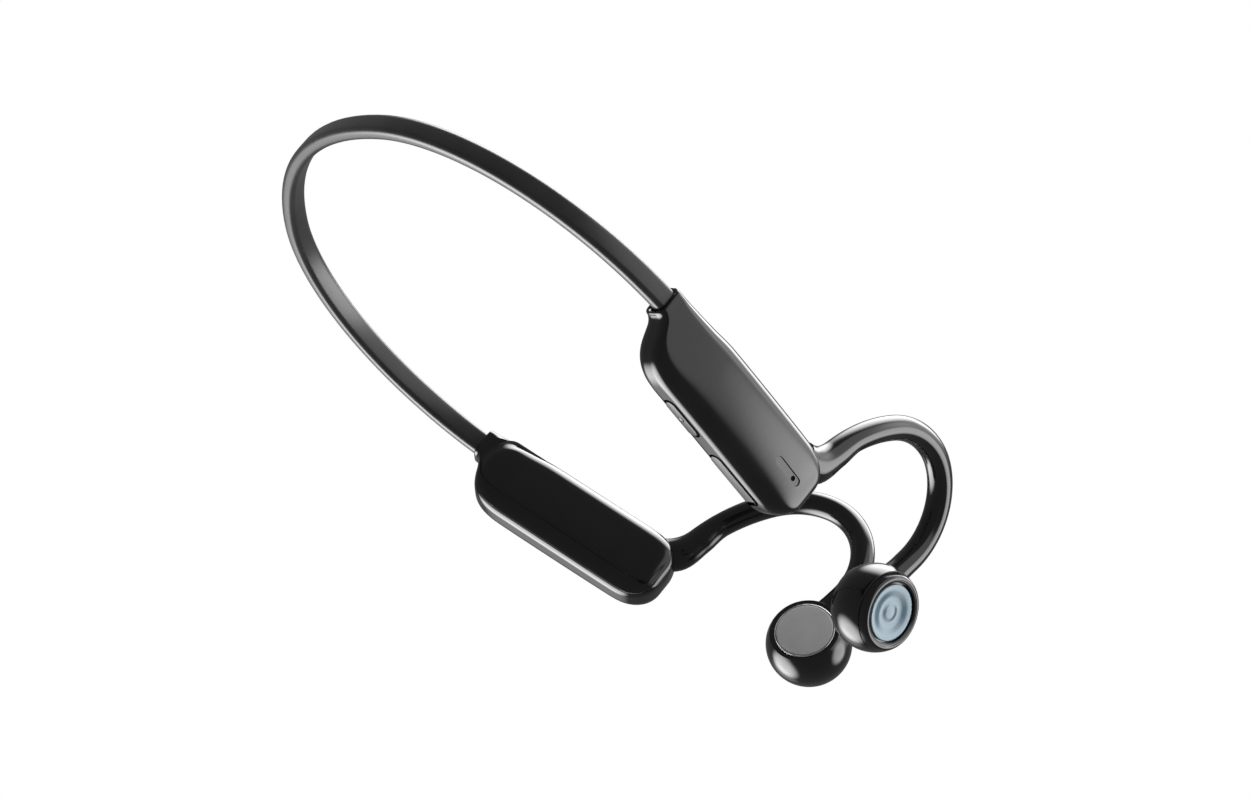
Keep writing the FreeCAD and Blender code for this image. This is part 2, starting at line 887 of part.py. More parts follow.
# Clamps that hold the neckband's wire and the hook's wire, one of each in each pod.
wires = [("band_wire", band_wire), ("band_leads", band_leads), ("hook_wire", hook_wire)]
ways = {name: in_pod(name + "_way", source) for name, source in wires + [("hook_leads", hook_leads)]}
band_clamp_box = block(
    "band_clamp_box",
    ("-band_clamp_half_width", "band_clamp_half_width"),
    ("band_clamp_rear", "band_clamp_front"),
    ("-band_clamp_half_height", "band_clamp_half_height"),
)
band_clamp = cut("band_clamp", band_clamp_box, ways["band_wire"], ways["band_leads"])
hook_clamp_box = block(
    "hook_clamp_box",
    ("hook_clamp_inner", "hook_clamp_outer"),
    ("hook_clamp_rear", "hook_clamp_front"),
    ("hook_clamp_bottom", "hook_clamp_top"),
)
hook_clamp = cut("hook_clamp", hook_clamp_box, ways["hook_wire"], ways["hook_leads"])
for name, clamp in (("band_clamp", band_clamp), ("hook_clamp", hook_clamp)):
    left_copy(f"left_{name}", clamp)
    node(group(f"right_{name}_piece", clamp), f"right_{name}", pod_frame)

# The left pod holds the battery.
cell_outer = "cell_inner + cell_thickness"
cell_box = block(
    "cell_box", ("cell_inner", cell_outer), ("cell_rear", "cell_front"), ("cell_bottom", "cell_top")
)
cell = fillet("cell", cell_box, [(lambda edge: along(edge, 1), dim("cell_rounding"))])
left_copy("battery_cell", cell)
foam_box = block(
    "foam_box",
    (cell_outer, "pod_half_width - wall"),
    ("foam_rear", "foam_front"),
    ("foam_bottom", "foam_top"),
)
foam = fillet("foam", foam_box, [(lambda edge: along(edge, 0), dim("foam_rounding"))])
left_copy("battery_pad", foam)
guard_board = block(
    "guard_board",
    ("guard_inner", "guard_outer"),
    ("guard_rear", "guard_rear + guard_thickness"),
    ("guard_bottom", "guard_top"),
)
guard_chip = block(
    "guard_chip",
    ("-guard_chip_half", "guard_chip_half"),
    ("guard_rear + guard_thickness", "guard_rear + 2 * guard_thickness"),
    ("guard_chip_bottom", "guard_chip_top"),
)
left_copy("battery_board", fuse("battery_board_solid", guard_board, guard_chip))

# Buds -------------------------------------------------------------------------------------------

bud_place = Vector(dim("bud_x"), dim("bud_y"), dim("bud_z"))
bud_axis = Rotation(Vector(0, 0, 1), dim("bud_turn")) * Rotation(Vector(0, 1, 0), 90)
bud_frame = Placement(bud_place, bud_axis)


def bud_zone(name, low, high):
    """The part of the bud's ball between two formulas along its axis."""
    piece = doc.addObject("Part::Sphere", name)
    bind(piece, "Radius", "bud_radius")
    piece.setExpression("Angle1", f"asin(Dims.{low} / Dims.bud_radius)")
    piece.setExpression("Angle2", f"asin(Dims.{high} / Dims.bud_radius)")
    return piece


def ball(name, radius):
    piece = doc.addObject("Part::Sphere", name)
    bind(piece, "Radius", radius)
    return piece


doc.recompute()
hook_entry = doc.addObject("Part::Feature", "hook_entry")
hook_entry.Shape = hook_solid.Shape.copy()
hook_entry.Placement = bud_frame.inverse() * hook_solid.Shape.Placement

bud_shell = cut(
    "bud_shell",
    bud_zone("bud_wall", "bud_inner_face", "bud_seam"),
    ball("bud_hollow", "bud_hollow_radius"),
    disc("pad_mouth", "pad_mouth_radius", "bud_inner_face - 1", "pad_mouth_floor"),
    hook_entry,
)
bezel_bore = disc("bezel_bore", "dish_mouth_radius", "bud_seam - 1", "bud_outer_face + 1")
bud_bezel = cut("bud_bezel", bud_zone("bezel_zone", "bud_seam", "bud_outer_face"), bezel_bore)
dish_top = "bud_outer_face - dish_recess"
dish_blank = disc("dish_blank", "dish_radius", "bud_seam", dish_top)
dish_hollow = doc.addObject("Part::Cone", "dish_hollow")
bind(dish_hollow, "Radius1", "dish_floor_radius")
bind(dish_hollow, "Radius2", "dish_rim_radius")
bind(dish_hollow, "Height", "dish_depth")
bind(dish_hollow, "Placement.Base.z", f"{dish_top} - dish_depth + 0.01")
dish_dome = disc("dish_dome", "dome_radius", "bud_seam + dome_recess", f"{dish_top} - dome_recess")
bud_dish = fuse("bud_dish", cut("dish_cone", dish_blank, dish_hollow), dish_dome)
pad_low = "bud_inner_face - pad_stand"
contact_pad = disc("contact_pad_solid", "pad_radius", pad_low, f"{pad_low} + pad_thickness")
pad_ring = ring(
    "pad_ring",
    "pad_mouth_radius",
    "pad_radius",
    "bud_inner_face - ring_stand",
    "bud_inner_face + ring_depth",
)
spring_plate = ring("spring_plate", "driver_radius", "spring_bore", "spring_low", "spring_high")
pad_post = disc("pad_post", "post_radius", "post_low", "coil_low")
driver_tube = ring("driver_tube", "driver_radius", "yoke_radius", "spring_high", "yoke_high")
driver_flange = ring(
    "driver_flange",
    "bud_hollow_radius - flange_gap",
    "driver_radius - flange_overlap",
    "-flange_half",
    "flange_half",
)
transducer_frame = fuse("transducer_frame_solid", driver_tube, driver_flange)
yoke_hollow = disc("yoke_hollow", "coil_outer_radius + yoke_gap", "yoke_low - 1", "yoke_floor")
yoke = cut("yoke_solid", disc("yoke_blank", "yoke_radius", "yoke_low", "yoke_high"), yoke_hollow)
magnet = disc("magnet_solid", "magnet_radius", "magnet_low", "yoke_floor")
coil = ring("coil", "coil_outer_radius", "coil_inner_radius", "coil_low", "coil_high")
coil_plate = ring("coil_plate", "coil_outer_radius", "post_radius", "coil_plate_low", "coil_low")
voice_coil = fuse("voice_coil_solid", coil, coil_plate)

bud_pieces = {
    "bud_shell": bud_shell,
    "bud_bezel": bud_bezel,
    "bud_dish": bud_dish,
    "contact_pad": fuse("contact_pad_set", contact_pad, pad_post),
    "pad_ring": pad_ring,
    "spring_plate": spring_plate,
    "transducer_frame": transducer_frame,
    "yoke": yoke,
    "magnet": group("magnet_piece", magnet),
    "voice_coil": voice_coil,
}
for name, piece in bud_pieces.items():
    piece.Placement = bud_frame
    node(piece, f"right_{name}")
    node(mirror(f"left_{name}_mirror", piece), f"left_{name}")

# Checks and files -------------------------------------------------------------------------------

doc.recompute()
for piece in doc.Objects:
    if {"Invalid", "Error"} & set(piece.State):
        raise RuntimeError(f"{piece.Label} failed: {piece.State}")
for piece in nodes:
    if piece.Shape.isNull() or not piece.Shape.isValid():
        raise RuntimeError(f"{piece.Label} has a bad shape")

os.makedirs("parts", exist_ok=True)
for piece in nodes:
    piece.Shape.exportStep(f"parts/{piece.Label}.step")
    print(piece.Label, len(piece.Shape.Solids), round(piece.Shape.Volume, 2))
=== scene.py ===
"""Bone conduction headphones: the finished look of every piece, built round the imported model.

Sizes are in millimetres and are brought to metres as each piece is seated.  +X is the wearer's
right, +Y is forward and +Z is up.
"""

from math import atan2, cos, pi, radians, sin

import bmesh
import bpy
from mathutils import Matrix, Vector
from mathutils.bvhtree import BVHTree


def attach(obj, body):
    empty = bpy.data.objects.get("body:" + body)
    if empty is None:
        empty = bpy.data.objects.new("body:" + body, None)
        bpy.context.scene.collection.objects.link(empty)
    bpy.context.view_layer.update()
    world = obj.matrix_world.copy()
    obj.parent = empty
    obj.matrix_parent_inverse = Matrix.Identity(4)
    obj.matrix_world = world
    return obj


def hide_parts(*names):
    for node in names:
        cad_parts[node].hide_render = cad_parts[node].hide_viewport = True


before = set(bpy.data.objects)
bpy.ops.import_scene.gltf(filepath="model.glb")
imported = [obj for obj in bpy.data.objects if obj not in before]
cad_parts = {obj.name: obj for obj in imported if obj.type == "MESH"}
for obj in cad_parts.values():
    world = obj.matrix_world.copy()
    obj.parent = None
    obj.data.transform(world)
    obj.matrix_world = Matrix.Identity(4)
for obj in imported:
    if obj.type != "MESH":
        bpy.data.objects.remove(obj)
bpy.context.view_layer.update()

# Memory wire ------------------------------------------------------------------------------------
# The spring of the neckband and of each ear hook: nickel-titanium wire, drawn through a die and
# heat-set to shape, so it is grey-gold with fine lengthwise draw marks and a dull oxide bloom.


def finish(name, deep, pale, rough, grain, height, metal=0.0):
    """A moulded, drawn or pressed surface whose colour and gloss drift, over a fine grain.

    rough is the lowest and highest roughness, grain the number of marks in a metre, and height
    how far they stand up in millimetres.
    """
    material = bpy.data.materials.new(name)
    material.use_nodes = True
    tree = material.node_tree
    shader = tree.nodes["Principled BSDF"]
    shader.inputs["Metallic"].default_value = metal

    place = tree.nodes.new("ShaderNodeTexCoord")
    drift = tree.nodes.new("ShaderNodeTexNoise")
    drift.name = "drift"
    drift.inputs["Scale"].default_value = grain / 9
    drift.inputs["Detail"].default_value = 4
    tree.links.new(place.outputs["Object"], drift.inputs["Vector"])
    tint = tree.nodes.new("ShaderNodeValToRGB")
    tint.name = "tint"
    tint.color_ramp.elements[0].position = 0.3
    tint.color_ramp.elements[0].color = (*deep, 1)
    tint.color_ramp.elements[1].position = 0.7
    tint.color_ramp.elements[1].color = (*pale, 1)
    tree.links.new(drift.outputs["Fac"], tint.inputs["Fac"])
    tree.links.new(tint.outputs["Color"], shader.inputs["Base Color"])

    bloom = tree.nodes.new("ShaderNodeMapRange")
    bloom.name = "bloom"
    bloom.inputs["To Min"].default_value = rough[0]
    bloom.inputs["To Max"].default_value = rough[1]
    tree.links.new(drift.outputs["Fac"], bloom.inputs["Value"])
    tree.links.new(bloom.outputs["Result"], shader.inputs["Roughness"])

    marks = tree.nodes.new("ShaderNodeTexNoise")
    marks.name = "marks"
    marks.inputs["Scale"].default_value = grain
    marks.inputs["Detail"].default_value = 3
    tree.links.new(place.outputs["Object"], marks.inputs["Vector"])
    relief = tree.nodes.new("ShaderNodeBump")
    relief.name = "relief"
    relief.inputs["Distance"].default_value = height / 1000
    tree.links.new(marks.outputs["Fac"], relief.inputs["Height"])
    tree.links.new(relief.outputs["Normal"], shader.inputs["Normal"])
    return material


def dress(material, *names):
    """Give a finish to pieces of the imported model."""
    for name in names:
        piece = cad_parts[name]
        piece.data.materials.clear()
        piece.data.materials.append(material)


memory_wire = finish(
    "memory_wire", (0.36, 0.33, 0.28), (0.62, 0.58, 0.5), (0.22, 0.4), 2400, 0.004, 1
)
dress(memory_wire, "neckband_wire", "right_hook_wire", "left_hook_wire")

# Signal leads -----------------------------------------------------------------------------------
# A thin cable beside each wire carries sound and power across the neck and out to the buds.  Its
# jacket is extruded grey elastomer with a slight sheen and a faint pebble from the die.
cable_jacket = finish(
    "cable_jacket", (0.05, 0.05, 0.055), (0.09, 0.09, 0.1), (0.42, 0.58), 3200, 0.006
)
cable_jacket.node_tree.nodes["Principled BSDF"].inputs["Sheen Weight"].default_value = 0.15
dress(cable_jacket, "neckband_leads", "right_hook_leads", "left_hook_leads")

# Neckband sleeve --------------------------------------------------------------------------------
# Soft-touch silicone moulded over the wire and leads: a flat strap with rounded edges that runs
# from one collar, round the back of the neck, to the other.
band_height, band_thickness, band_rounding = 4.8, 3.2, 1.2
collar_at = Vector((-62.583, -5.918, 12.1))
band_tuck = 5.4
band_heading = radians(-105.3)
band_arcs = ((53.0, 37.9), (50.0, 42.1), (83.3, 50.6), (50.0, 42.1), (53.0, 37.9))


def onward(shape, ring, offset):
    """Draw a ring of edges straight on by an offset, and give back its far copy."""
    grown = bmesh.ops.extrude_edge_only(shape, edges=ring)["geom"]
    corners = [part for part in grown if isinstance(part, bmesh.types.BMVert)]
    bmesh.ops.translate(shape, vec=offset, verts=corners)
    return [part for part in grown if isinstance(part, bmesh.types.BMEdge)]


def round_turn(shape, ring, at, heading, axis, radius, angle, steps):
    """Carry a ring round an arc about an axis, and give back its far end, place and heading."""
    side = axis.cross(heading) * (1 if angle > 0 else -1)
    centre = at + side * radius
    corners = {corner for edge in ring for corner in edge.verts}
    spun = bmesh.ops.spin(
        shape,
        geom=[*corners, *ring],
        cent=centre,
        axis=axis,
        angle=radians(angle),
        steps=steps,
    )["geom_last"]
    swing = Matrix.Rotation(radians(angle), 3, axis)
    return (
        [part for part in spun if isinstance(part, bmesh.types.BMEdge)],
        centre + swing @ (at - centre),
        swing @ heading,
    )


def close_ends(shape):
    """Fill the open ends of a shape."""
    rims = [edge for edge in shape.edges if edge.is_boundary]
    bmesh.ops.holes_fill(shape, edges=rims, sides=0)


def seat(shape, name, material, stands_for, body="headset", place=None, bevelled=0.0, smooth=40):
    """Make a piece of the headset from a shape: facing outwards, in metres and riding its body."""
    bmesh.ops.remove_doubles(shape, verts=shape.verts, dist=0.0005)
    bmesh.ops.recalc_face_normals(shape, faces=shape.faces)
    to_metres = Matrix.Scale(0.001, 4) @ (place or Matrix())
    bmesh.ops.transform(shape, matrix=to_metres, verts=shape.verts)
    if to_metres.determinant() < 0:
        bmesh.ops.reverse_faces(shape, faces=shape.faces)
    for face in shape.faces:
        face.smooth = True
    mesh = bpy.data.meshes.new(name)
    shape.to_mesh(mesh)
    shape.free()
    mesh.set_sharp_from_angle(angle=radians(smooth))
    piece = bpy.data.objects.new(name, mesh)
    bpy.context.scene.collection.objects.link(piece)
    mesh.materials.append(material)
    if bevelled:
        edge = piece.modifiers.new("edge", "BEVEL")
        edge.width = bevelled / 1000
        edge.segments = 2
        edge.limit_method = "ANGLE"
        edge.angle_limit = radians(smooth)
        edge.harden_normals = True
    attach(piece, body)
    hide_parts(*stands_for)


soft_touch = finish(
    "soft_touch", (0.016, 0.016, 0.017), (0.024, 0.024, 0.025), (0.26, 0.32), 1500, 0.0004
)
soft_touch.node_tree.nodes["Principled BSDF"].inputs["Specular IOR Level"].default_value = 0.6

band_rounding_steps = 6
band_arc_steps = 24
strap = bmesh.new()
bmesh.ops.create_grid(strap, x_segments=1, y_segments=1, size=0.5)
bmesh.ops.scale(strap, vec=(band_thickness, band_height, 1), verts=strap.verts)
bmesh.ops.bevel(
    strap,
    geom=strap.verts[:],
    offset=band_rounding,
    offset_type="OFFSET",
    affect="VERTICES",
    segments=band_rounding_steps,
    profile=0.5,
    material=-1,
)
bmesh.ops.delete(strap, geom=strap.faces[:], context="FACES_ONLY")
band_axis = Vector((0, 0, 1))
band_at = collar_at.copy()
band_ahead = Vector((cos(band_heading), sin(band_heading), 0))
stand_up = Matrix((band_axis.cross(band_ahead), band_axis, band_ahead)).transposed().to_4x4()
stand_up.translation = band_at - band_ahead * band_tuck
bmesh.ops.transform(strap, matrix=stand_up, verts=strap.verts)
band_ring = onward(strap, strap.edges[:], band_ahead * band_tuck)
for band_radius, band_angle in band_arcs:
    band_ring, band_at, band_ahead = round_turn(
        strap, band_ring, band_at, band_ahead, band_axis, band_radius, band_angle, band_arc_steps
    )
onward(strap, band_ring, band_ahead * band_tuck)
close_ends(strap)
seat(strap, "neckband", soft_touch, ["neckband_sleeve"])

# Pods -------------------------------------------------------------------------------------------
# Each pod is two glossy black mouldings: a deep outer tub and a shallow lid against the head, which
# meet at a fine parting line.  A thinner collar at the rear takes the end of the neckband.
collar_right = Vector((62.583, -5.918, 12.1))
toe_in = radians(23.0)
pod_shift = -0.4
parting = -3.0
parting_gap = 0.16
# distance along the pod, lower edge, upper edge, inner side, outer side
pod_stations = (
    (1.6, -2.65, 2.65, -1.85, 1.85),
    (0.0, -2.65, 2.65, -1.85, 1.85),
    (-0.42, -2.75, 2.75, -1.95, 1.95),
    (-0.6, -3.05, 3.05, -2.5, 2.5),
    (-0.5, -3.3, 3.2, -2.95, 2.95),
    (-0.2, -3.42, 3.25, -3.1, 3.1),
    (0.2, -3.42, 3.25, -3.15, 3.15),
    (0.5, -3.5, 3.24, -3.15, 3.15),
    (1.1, -3.95, 3.24, -3.15, 3.2),
    (1.7, -4.65, 3.25, -3.2, 3.3),
    (2.3, -5.9, 3.27, -3.4, 3.4),
    (2.9, -7.3, 3.3, -3.7, 3.5),
    (3.8, -8.9, 3.33, -4.1, 3.7),
    (5.2, -10.4, 3.38, -4.5, 4.0),
    (7.0, -11.4, 3.44, -4.8, 4.35),
    (9.2, -11.95, 3.52, -5.0, 4.7),
    (11.4, -12.1, 3.66, -5.1, 4.9),
    (13.2, -12.1, 3.88, -5.1, 5.0),
    (15.0, -12.1, 4.05, -5.1, 5.05),
    (17.0, -12.1, 4.1, -5.1, 5.1),
    (24.0, -12.1, 4.1, -5.1, 5.1),
    (31.0, -12.1, 4.1, -5.1, 4.97),
    (37.0, -12.1, 4.1, -5.1, 4.76),
    (41.0, -12.1, 4.1, -5.1, 4.56),
    (43.0, -12.0, 3.98, -5.1, 4.44),
    (44.8, -11.6, 3.55, -5.02, 4.3),
    (46.4, -10.75, 2.75, -4.8, 4.1),
    (47.6, -9.7, 1.8, -4.4, 3.75),
    (48.5, -8.4, 0.4, -3.75, 3.2),
    (49.0, -6.9, -1.3, -2.6, 2.3),
    (49.2, -5.0, -3.2, -1.0, 0.9),
)
pod_rounding = 3.2
pod_crown = 0.16
pod_middle, pod_reach = -4.0, 8.1
# the station whose section the outline starts from, before each station stretches it
pod_widest = 20
pod_corner_steps, pod_flat_cuts = 5, 4
shoulder_centre = Vector((0, 11.8, -4.4))
shoulder_reach = Vector((0, 9.9, 8.6))
shoulder_softness = 0.42
tongue_half_width = 3.1

glossy_black = finish(
    "glossy_black", (0.004, 0.004, 0.0045), (0.007, 0.007, 0.0075), (0.1, 0.15), 700, 0.0022
)


def rounded_outline(shape, wide, long, rounding, segments):
    """A flat rounded rectangle face in the XY plane, centred on the origin."""
    made = bmesh.ops.create_grid(shape, x_segments=1, y_segments=1, size=0.5)["verts"]
    bmesh.ops.scale(shape, vec=(wide, long, 1), verts=made)
    bmesh.ops.bevel(
        shape,
        geom=made,
        offset=rounding,
        offset_type="OFFSET",
        affect="VERTICES",
        segments=segments,
        profile=0.5,
        material=-1,
    )


def pod_skin():
    """The whole outside of a right-hand pod, in the pod's own frame, as one closed shape."""
    low, high, inner, outer = pod_stations[pod_widest][1:]
    skin = bmesh.new()
    rounded_outline(skin, outer - inner, high - low, pod_rounding, pod_corner_steps)
    flats = [edge for edge in skin.edges if edge.calc_length() > pod_rounding]
    bmesh.ops.subdivide_edges(skin, edges=flats, cuts=pod_flat_cuts)
    bmesh.ops.delete(skin, geom=skin.faces[:], context="FACES_ONLY")
    bmesh.ops.rotate(skin, matrix=Matrix.Rotation(pi / 2, 3, "X"), verts=skin.verts)
    ring = skin.edges[:]
    corners = skin.verts[:]
    middle = Vector(((inner + outer) / 2, 0, (low + high) / 2))
    bmesh.ops.translate(skin, vec=middle, verts=corners)
    for number, station in enumerate(pod_stations):
        if number:
            ring = onward(skin, ring, Vector((0, 0, 0)))
            corners = list({corner for edge in ring for corner in edge.verts})
        next_along, next_low, next_high, next_inner, next_outer = station
        next_middle = Vector(((next_inner + next_outer) / 2, next_along, (next_low + next_high) / 2))
        grow = ((next_outer - next_inner) / (outer - inner), 1, (next_high - next_low) / (high - low))
        bmesh.ops.translate(skin, vec=-middle, verts=corners)
        bmesh.ops.scale(skin, vec=grow, verts=corners)
        bmesh.ops.translate(skin, vec=next_middle, verts=corners)
        middle = next_middle
        low, high, inner, outer = next_low, next_high, next_inner, next_outer
    close_ends(skin)
    return skin


def press_form(skin):
    """Crown the long faces, and sink the collar's tongue below the lid's cushion with a soft arc."""
    for corner in skin.verts:
        corner.co.x *= 1 - pod_crown * ((corner.co.z - pod_middle) / pod_reach) ** 2
        if corner.co.x < 0:
            reach = corner.co - shoulder_centre
            behind = min(reach.y, 0) / shoulder_reach.y
            above = max(reach.z, 0) / shoulder_reach.z
            out = Vector((behind, above)).length
            sink = min(max((out - 1 + shoulder_softness / 2) / shoulder_softness, 0), 1)
            sink = sink * sink * (3 - 2 * sink)
            corner.co.x = max(corner.co.x, corner.co.x * (1 - sink) - tongue_half_width * sink)


def smoothed(shape, levels):
    """The same shape after subdivision, as a new one."""
    mesh = bpy.data.meshes.new("rough_shape")
    shape.to_mesh(mesh)
    shape.free()
    rough_piece = bpy.data.objects.new("rough_piece", mesh)
    bpy.context.scene.collection.objects.link(rough_piece)
    round_off = rough_piece.modifiers.new("round_off", "SUBSURF")
    round_off.levels = levels
    round_off.render_levels = levels
    fine = bmesh.new()
    fine.from_object(rough_piece, bpy.context.evaluated_depsgraph_get())
    bpy.data.objects.remove(rough_piece)
    bpy.data.meshes.remove(mesh)
    return fine


def half_of(shape, cut_at, keep_outer):
    """One side of a closed shape, cut square across X and closed again."""
    half = shape.copy()
    bmesh.ops.bisect_plane(
        half,
        geom=[*half.verts, *half.edges, *half.faces],
        plane_co=(cut_at, 0, 0),
        plane_no=(1, 0, 0),
        clear_inner=keep_outer,
        clear_outer=not keep_outer,
    )
    close_ends(half)
    return half


def pod_frame(side):
    """Where a pod stands: side is 1 for the right and -1 for its mirror image on the left."""
    stand = Matrix.Translation(collar_right) @ Matrix.Rotation(toe_in, 4, "Z")
    stand = stand @ Matrix.Translation((pod_shift, 0, 0))
    return Matrix.Diagonal((side, 1, 1, 1)) @ stand


pod_cage = pod_skin()
bmesh.ops.recalc_face_normals(pod_cage, faces=pod_cage.faces)
pod_form = smoothed(pod_cage, 2)
press_form(pod_form)
for side, hand in ((1, "right"), (-1, "left")):
    seat(
        half_of(pod_form, parting - parting_gap / 2, False),
        f"{hand}_lid",
        glossy_black,
        [f"{hand}_inner_cover"],
        place=pod_frame(side),
        bevelled=0.08,
    )
outer_half = half_of(pod_form, parting + parting_gap / 2, True)
pod_surface = BVHTree.FromBMesh(pod_form)
pod_form.free()
seat(
    outer_half.copy(),
    "left_tub",
    glossy_black,
    ["left_outer_cover"],
    place=pod_frame(-1),
    bevelled=0.08,
)

# Right tub --------------------------------------------------------------------------------------
# The right pod's tub has three openings: a well for the power button and one for the charging port
# in its underside, and a shallow oval in its outer face for the status light and the microphone.
control_offset = -0.5
underside = -12.1
button_start, button_length, button_width = 13.6, 10.2, 3.6
button_floor = -9.9
port_start, port_length, port_width = 28.4, 14.4, 3.8
port_floor = -4.6
light_start, light_length, light_width, light_level = 36.8, 7.6, 1.8, -4.5
light_recess = 0.32
light_way_depth = 3
cut_spare = 1


def oval_bar(long, wide, thick, segments=12):
    """A bar with round ends, long along Y, wide along X, standing up from the XY plane."""
    bar = bmesh.new()
    short_of_round, too_close = 0.01, 0.03
    rounded_outline(bar, wide, long, wide / 2 - short_of_round, segments)
    bmesh.ops.remove_doubles(bar, verts=bar.verts, dist=too_close)
    grown = bmesh.ops.extrude_face_region(bar, geom=bar.faces[:], use_keep_orig=True)["geom"]
    risen = [part for part in grown if isinstance(part, bmesh.types.BMVert)]
    bmesh.ops.translate(bar, vec=(0, 0, thick), verts=risen)
    bmesh.ops.recalc_face_normals(bar, faces=bar.faces)
    return bar


def carved(shape, tools):
    """The shape with every tool cut out of it."""
    parts = []
    for part in (shape, *tools):
        mesh = bpy.data.meshes.new("carving")
        part.to_mesh(mesh)
        part.free()
        parts.append(bpy.data.objects.new("carving", mesh))
        bpy.context.scene.collection.objects.link(parts[-1])
    for tool in parts[1:]:
        way = parts[0].modifiers.new("way", "BOOLEAN")
        way.object = tool
        way.operation = "DIFFERENCE"
        way.solver = "EXACT"
    result = bmesh.new()
    result.from_object(parts[0], bpy.context.evaluated_depsgraph_get())
    for part in parts:
        mesh = part.data
        bpy.data.objects.remove(part)
        bpy.data.meshes.remove(mesh)
    return result


def face_at(along):
    """How far out the pod's outer face is at a distance along it, at the light's level."""
    clear_of_pod = Vector((20, along, light_level))
    return pod_surface.ray_cast(clear_of_pod, Vector((-1, 0, 0)))[0].x


light_middle = light_start + light_length / 2
face_rear, face_front = face_at(light_start), face_at(light_start + light_length)
face_slope = atan2(face_rear - face_front, light_length)
light_seat = (
    Matrix.Translation(((face_rear + face_front) / 2 - light_recess, light_middle, light_level))
    @ Matrix.Rotation(face_slope, 4, "Z")
    @ Matrix.Rotation(pi / 2, 4, "Y")
)
button_middle, port_middle = button_start + button_length / 2, port_start + port_length / 2
button_way = oval_bar(button_length, button_width, cut_spare + button_floor - underside)
button_way.transform(Matrix.Translation((control_offset, button_middle, underside - cut_spare)))
port_way = oval_bar(port_length, port_width, cut_spare + port_floor - underside)
port_way.transform(Matrix.Translation((control_offset, port_middle, underside - cut_spare)))
light_way = oval_bar(light_length, light_width, light_way_depth)
light_way.transform(light_seat @ Matrix.Translation((0, 0, -cut_spare)))
seat(
    carved(outer_half, [button_way, port_way, light_way]),
    "right_tub",
    glossy_black,
    ["right_outer_cover"],
    place=pod_frame(1),
    bevelled=0.09,
)

# Light window -----------------------------------------------------------------------------------
# Smoked polycarbonate fills the oval, a little below the face.  The status light shines through it,
# and a round hole at its front end lets sound in to the microphone behind a woven mesh.
microphone_at = 42.6
sound_hole = 0.5
window_gap = 0.05
window_thickness, window_sink = 0.9, 0.8
hole_length, grille_thickness, grille_sink = 3, 0.12, 0.1
smoked = finish("smoked", (0.003, 0.003, 0.004), (0.006, 0.006, 0.007), (0.16, 0.22), 900, 0.002)
smoked.node_tree.nodes["Principled BSDF"].inputs["Transmission Weight"].default_value = 0.1
window = oval_bar(light_length - 2 * window_gap, light_width - 2 * window_gap, window_thickness)
window.transform(Matrix.Translation((0, 0, -window_sink)))


def short_rod(radius, length):
    """A round rod along Z, centred on the origin."""
    rod = bmesh.new()
    bmesh.ops.create_cone(rod, cap_ends=True, segments=32, radius1=radius, radius2=radius, depth=length)
    return rod


hole = short_rod(sound_hole, hole_length)
hole.transform(Matrix.Translation((0, microphone_at - light_middle, 0)))
window = carved(window, [hole])
window.transform(light_seat)
seat(window, "light_window", smoked, ["light_pipe"], place=pod_frame(1), bevelled=0.04)

woven = finish("woven_mesh", (0.002, 0.002, 0.002), (0.006, 0.006, 0.006), (0.85, 0.95), 5000, 0.01)
woven_tree = woven.node_tree
woven_tree.nodes["Principled BSDF"].inputs["Specular IOR Level"].default_value = 0.1
weave = woven_tree.nodes.new("ShaderNodeTexChecker")
weave.inputs["Scale"].default_value = 9000
woven_tree.links.new(woven_tree.nodes["Texture Coordinate"].outputs["Object"], weave.inputs["Vector"])
woven_tree.links.new(weave.outputs["Fac"], woven_tree.nodes["relief"].inputs["Height"])
grille = short_rod(sound_hole, grille_thickness)
grille.transform(light_seat @ Matrix.Translation((0, microphone_at - light_middle, -grille_sink)))
seat(grille, "microphone_grille", woven, ["microphone_mesh"], place=pod_frame(1), bevelled=0.02)

# Power button -----------------------------------------------------------------------------------
# A satin black key that floats in its well on a sealed dome switch.  It is moulded with a softened
# rim and a small raised dot, so that a finger finds it.
button_gap, button_proud, button_thickness = 0.38, 0.25, 1.6
button_rim, dot_radius, dot_flatness = 0.35, 0.7, 0.28
satin_black = finish(
    "satin_black", (0.01, 0.01, 0.0105), (0.016, 0.016, 0.0165), (0.22, 0.28), 2200, 0.0008
)


def key_shape(long, wide, thick, rim):
    """A moulded bar with round ends, whose outer rim is softened."""
    key = oval_bar(long, wide, thick)
    outer = [edge for edge in key.edges if all(corner.co.z < 0.001 for corner in edge.verts)]
    bmesh.ops.bevel(
        key,
        geom=outer,
        offset=rim,
        offset_type="OFFSET",
        affect="EDGES",
        segments=4,
        profile=0.5,
        material=-1,
    )
    return key


button_size = (button_length - 2 * button_gap, button_width - 2 * button_gap, button_thickness)
button = key_shape(*button_size, button_rim)
bmesh.ops.create_uvsphere(
    button,
    u_segments=32,
    v_segments=16,
    radius=dot_radius,
    matrix=Matrix.Diagonal((1, 1, dot_flatness, 1)),
)
button.transform(Matrix.Translation((control_offset, button_middle, underside - button_proud)))
seat(
    button,
    "button_key",
    satin_black,
    ["power_button"],
    body="power_button",
    place=pod_frame(1),
    smooth=50,
)

